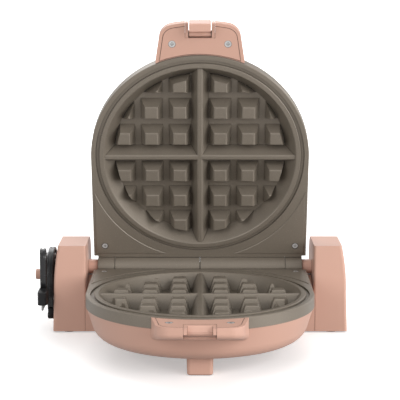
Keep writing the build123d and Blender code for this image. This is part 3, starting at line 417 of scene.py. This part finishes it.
# Strain relief: a round boss on the tower and a flat sleeve that tapers in ribs to the cord. The
# boss's centre is a y and a height, and its two x are where it starts and ends
reliefPlan = {
    "bossCentre": (-20.0, 13.5), "bossX": (-139.95, -146.35), "bossRadius": 3.6, "lean": 65.0,
    "length": 9.0, "startHalf": (2.8, 2.5), "endHalf": (3.1, 1.75), "ribs": 3, "ribDepth": 0.35,
    "plainShare": 0.25, "groovePower": 0.5, "cornerPower": 3.0, "bossEdge": 1.4,
    "steps": 49, "sectionPoints": 32, "rimSteps": 7, "pointsAround": 48,
}


def superEllipse(halfWide, halfThick, power, count):
    # Rounded rectangle: cosine and sine drawn towards the corners by a power
    angles = np.linspace(0, 2 * np.pi, count, endpoint=False)
    x = np.sign(np.cos(angles)) * np.abs(np.cos(angles)) ** (2 / power)
    y = np.sign(np.sin(angles)) * np.abs(np.sin(angles)) ** (2 / power)
    halfWide, halfThick = np.atleast_1d(halfWide)[:, None], np.atleast_1d(halfThick)[:, None]
    return np.stack([halfWide * x, halfThick * y], axis=-1)


def makeStrainRelief(plan):
    # The sleeve's half sizes run straight from start to end, less a comb of rounded grooves
    share = np.linspace(0, 1, plan["steps"])
    comb = np.clip(np.sin(share * plan["ribs"] * 2 * np.pi), 0, 1)
    groove = plan["ribDepth"] * comb ** plan["groovePower"]
    groove[share < plan["plainShare"]] = 0
    wide = plan["startHalf"][0] + share * (plan["endHalf"][0] - plan["startHalf"][0])
    thick = plan["startHalf"][1] + share * (plan["endHalf"][1] - plan["startHalf"][1])
    lean = math.radians(plan["lean"])
    places = np.stack([
        np.full_like(share, cordPlan["innerX"]),
        plan["bossCentre"][0] - share * plan["length"] * math.cos(lean),
        plan["bossCentre"][1] + share * plan["length"] * math.sin(lean),
    ], axis=-1)
    section = superEllipse(
        wide - groove / 2, thick - groove, plan["cornerPower"], plan["sectionPoints"]
    )
    sleeve = surfaceObject(
        "strainSleeve", alongLine(places * mm, section * mm), closeAcross=True, capEnds=True
    )
    # The boss is a circle carried along X, its rim rounded over a quarter turn at the outer end
    turn = np.linspace(0, np.pi / 2, plan["rimSteps"])
    inner, outer = plan["bossX"]
    edge, pointsAround = plan["bossEdge"], plan["pointsAround"]
    alongX = np.concatenate([[inner], outer + edge - edge * np.sin(turn)])
    radii = np.concatenate([[plan["bossRadius"]], plan["bossRadius"] - edge + edge * np.cos(turn)])
    around = np.linspace(0, 2 * np.pi, pointsAround, endpoint=False)
    boss = np.stack([
        np.broadcast_to(alongX[:, None], (len(alongX), pointsAround)),
        plan["bossCentre"][0] + radii[:, None] * np.cos(around),
        plan["bossCentre"][1] + radii[:, None] * np.sin(around),
    ], axis=-1)
    bossPiece = surfaceObject("strainBoss", boss * mm, closeAcross=True, capEnds=True)
    return sleeve, bossPiece


strainSleeve, strainBoss = makeStrainRelief(reliefPlan)
for piece in (strainSleeve, strainBoss):
    dress(piece, "plugPlastic")
    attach(piece, "base")
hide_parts("strain_relief")
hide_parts("strain_relief")

# Plug: a flat body lofted down from the cord's neck, with grip grooves on its two faces. Its centre
# is an x and a y, and its tops and bottom are heights
plugPlan = {
    "centre": (-148.5, -39.5), "top": 43.9, "bodyTop": 40.9, "bottom": 29.0,
    "neckHalf": (3.3, 1.8), "bodyHalf": (4.8, 10.0), "grooves": 3, "grooveDepth": 0.3,
    "gripStart": 3.0, "gripLength": 7.0, "shoulderSpare": 0.4, "faceRound": 0.8, "cornerPower": 4.0,
    "steps": 61, "sectionPoints": 64,
}


def makePlug(plan):
    # Half sizes grow from the neck to the body as a squared quarter sine and round in at the face.
    # Half sine waves along the grip are taken off the width as grooves
    share = np.linspace(0, 1, plan["steps"])
    height = plan["top"] + share * (plan["bottom"] - plan["top"])
    shoulderHeight = plan["top"] - plan["bodyTop"] + plan["shoulderSpare"]
    shoulder = np.clip((plan["top"] - height) / shoulderHeight, 0, 1)
    swell = np.sin(shoulder * np.pi / 2) ** 2
    fromFace = np.clip((height - plan["bottom"]) / plan["faceRound"], 0, 1)
    rounding = plan["faceRound"] * (1 - np.sqrt(1 - (1 - fromFace) ** 2))
    wide = plan["neckHalf"][0] + swell * (plan["bodyHalf"][0] - plan["neckHalf"][0]) - rounding
    deep = plan["neckHalf"][1] + swell * (plan["bodyHalf"][1] - plan["neckHalf"][1]) - rounding
    grip = (height - plan["bottom"] - plan["gripStart"]) / plan["gripLength"]
    comb = np.clip(np.sin(grip * plan["grooves"] * 2 * np.pi), 0, 1)
    comb[(grip < 0) | (grip > 1)] = 0
    wide -= comb * plan["grooveDepth"]
    section = superEllipse(wide, deep, plan["cornerPower"], plan["sectionPoints"])
    places = np.stack([
        section[..., 0] + plan["centre"][0],
        section[..., 1] + plan["centre"][1],
        np.broadcast_to(height[:, None], section.shape[:2]),
    ], axis=-1)
    return surfaceObject("plugShell", places * mm, closeAcross=True, capEnds=True)


plug = makePlug(plugPlan)
dress(plug, "plugPlastic")
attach(plug, "base")
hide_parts("plug_body")

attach(cord, "base")
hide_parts("cord_lead", "cord_coil", "cord_tail")
print("cord, strain relief and plug made")

# Spacer between the two long knuckles: a thin dark washer on the shaft, its rim rounded
spacerPlan = {
    "hingeHeight": 57.0, "boreRadius": 4.2, "rimRadius": 9.55, "halfWidth": 0.33,
    "cornerPower": 8.0, "pointsAround": 64, "sectionPoints": 32,
}


def makeSpacer(plan):
    # A rounded rectangle of x and radius, closed on itself, carried round the hinge line
    middle = (plan["rimRadius"] + plan["boreRadius"]) / 2
    halfDepth = (plan["rimRadius"] - plan["boreRadius"]) / 2
    section = superEllipse(plan["halfWidth"], halfDepth, plan["cornerPower"], plan["sectionPoints"])[0]
    around = np.linspace(0, 2 * np.pi, plan["pointsAround"], endpoint=False)[:, None]
    radius = middle + section[:, 1]
    places = np.stack([
        np.broadcast_to(section[:, 0], (len(around), len(section))),
        radius * np.cos(around),
        plan["hingeHeight"] + radius * np.sin(around),
    ], axis=-1)
    return surfaceObject("hingeSpacer", places * mm, closeAcross=True, closeAlong=True)


spacer = makeSpacer(spacerPlan)
dress(spacer, "darkFibre")
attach(spacer, "lower_half")
print("hinge spacer made")

# Floor and backdrop: one sheet, flat under the object and rising in a quarter circle behind it. Its
# plans are in metres
stagePlan = {
    "front": -3.2, "bendAt": 1.6, "bendRadius": 1.0, "bendSteps": 17, "top": 4.0, "halfWidth": 5.0,
}
stageFinish = {
    "bounceTone": 0.38, "seenTone": 0.93, "roughness": 0.6, "specular": 0.2,
    "glowRadii": (0.45, 1.20), "glow": (0.34, 0.85),
}


def makeStageFinish(plan):
    # The camera sees a paler sheet than the one that light bounces off. It and glossy reflections
    # also see a glow, which rises smoothly with the distance from the origin
    material = bpy.data.materials.new("paleStage")
    material.use_nodes = True
    tree = material.node_tree
    make, join = tree.nodes.new, tree.links.new
    shader = tree.nodes["Principled BSDF"]
    shader.inputs["Roughness"].default_value = plan["roughness"]
    shader.inputs["Specular IOR Level"].default_value = plan["specular"]
    shader.inputs["Emission Color"].default_value = (1.0, 1.0, 1.0, 1.0)
    seen = make("ShaderNodeLightPath")
    paper = make("ShaderNodeMix")
    paper.data_type = "RGBA"
    paper.inputs["A"].default_value = (*[plan["bounceTone"]] * 3, 1.0)
    paper.inputs["B"].default_value = (*[plan["seenTone"]] * 3, 1.0)
    either = make("ShaderNodeMath")
    either.operation = "MAXIMUM"
    place = make("ShaderNodeTexCoord")
    away = make("ShaderNodeVectorMath")
    away.operation = "LENGTH"
    level = make("ShaderNodeMapRange")
    level.interpolation_type = "SMOOTHSTEP"
    level.inputs["From Min"].default_value = plan["glowRadii"][0]
    level.inputs["From Max"].default_value = plan["glowRadii"][1]
    level.inputs["To Min"].default_value = plan["glow"][0]
    level.inputs["To Max"].default_value = plan["glow"][1]
    glow = make("ShaderNodeMath")
    glow.operation = "MULTIPLY"
    join(seen.outputs["Is Camera Ray"], paper.inputs["Factor"])
    join(paper.outputs["Result"], shader.inputs["Base Color"])
    join(place.outputs["Object"], away.inputs[0])
    join(away.outputs["Value"], level.inputs["Value"])
    join(seen.outputs["Is Camera Ray"], either.inputs[0])
    join(seen.outputs["Is Glossy Ray"], either.inputs[1])
    join(either.outputs["Value"], glow.inputs[0])
    join(level.outputs["Result"], glow.inputs[1])
    join(glow.outputs["Value"], shader.inputs["Emission Strength"])
    return material


def makeStage(plan):
    # A line of y and height, straight then round a quarter circle then straight up, drawn across X
    turn = np.linspace(0, np.pi / 2, plan["bendSteps"])
    alongY = np.concatenate([
        [plan["front"]], plan["bendAt"] + plan["bendRadius"] * np.sin(turn),
        [plan["bendAt"] + plan["bendRadius"]],
    ])
    height = np.concatenate([[0.0], plan["bendRadius"] * (1 - np.cos(turn)), [plan["top"]]])
    across = np.array([-plan["halfWidth"], plan["halfWidth"]])
    grid = (len(alongY), len(across))
    return surfaceObject("stage", np.stack([
        np.broadcast_to(across, grid),
        np.broadcast_to(alongY[:, None], grid),
        np.broadcast_to(height[:, None], grid),
    ], axis=-1))


sheet = makeStage(stagePlan)
sheet.data.materials.append(makeStageFinish(stageFinish))

# Studio light: a large soft box far round on the right with a low one beside it, a weaker one on
# the left, one above and one behind, in metres and watts
lightPlans = {
    "rightBox": {"place": (1.8, -1.7, 1.0), "aim": (0, 0, 0.12), "size": (2.2, 1.8), "watts": 46.0},
    "sideBox": {
        "place": (2.0, -0.6, 0.3), "aim": (0.05, -0.12, 0.06), "size": (0.9, 0.7), "watts": 13.0,
    },
    "leftBox": {"place": (-1.4, -2.0, 0.9), "aim": (0, 0, 0.12), "size": (1.6, 1.4), "watts": 20.5},
    "topBox": {"place": (0.2, 0.1, 2.0), "aim": (0, -0.05, 0), "size": (1.4, 1.0), "watts": 7.0},
    "backBox": {"place": (-0.5, 1.4, 1.5), "aim": (0, 0, 0.1), "size": (1.6, 1.2), "watts": 16.0},
}
for name, plan in lightPlans.items():
    lamp = bpy.data.lights.new(name, "AREA")
    lamp.shape = "RECTANGLE"
    lamp.size, lamp.size_y = plan["size"]
    lamp.energy = plan["watts"]
    lampObject = bpy.data.objects.new(name, lamp)
    place = np.array(plan["place"])
    aim = np.array(plan["aim"]) - place
    flat = math.hypot(aim[0], aim[1])
    lampObject.location = plan["place"]
    lampObject.rotation_euler = (
        math.atan2(flat, -aim[2]), 0.0, math.atan2(aim[1], aim[0]) - math.pi / 2
    )
    bpy.context.scene.collection.objects.link(lampObject)

# Pale world: how strongly it lights the object, and the white that the camera sees
worldPlan = {"light": 0.50, "seen": 1.0}
world = bpy.data.worlds.new("paleWorld")
bpy.context.scene.world = world
world.use_nodes = True
worldTree = world.node_tree
backdropLight = worldTree.nodes["Background"]
backdropLight.inputs["Color"].default_value = (1.0, 1.0, 1.0, 1.0)
worldSeen = worldTree.nodes.new("ShaderNodeLightPath")
worldLevel = worldTree.nodes.new("ShaderNodeMapRange")
worldLevel.inputs["To Min"].default_value = worldPlan["light"]
worldLevel.inputs["To Max"].default_value = worldPlan["seen"]
worldTree.links.new(worldSeen.outputs["Is Camera Ray"], worldLevel.inputs["Value"])
worldTree.links.new(worldLevel.outputs["Result"], backdropLight.inputs["Strength"])
print("stage and lights placed")
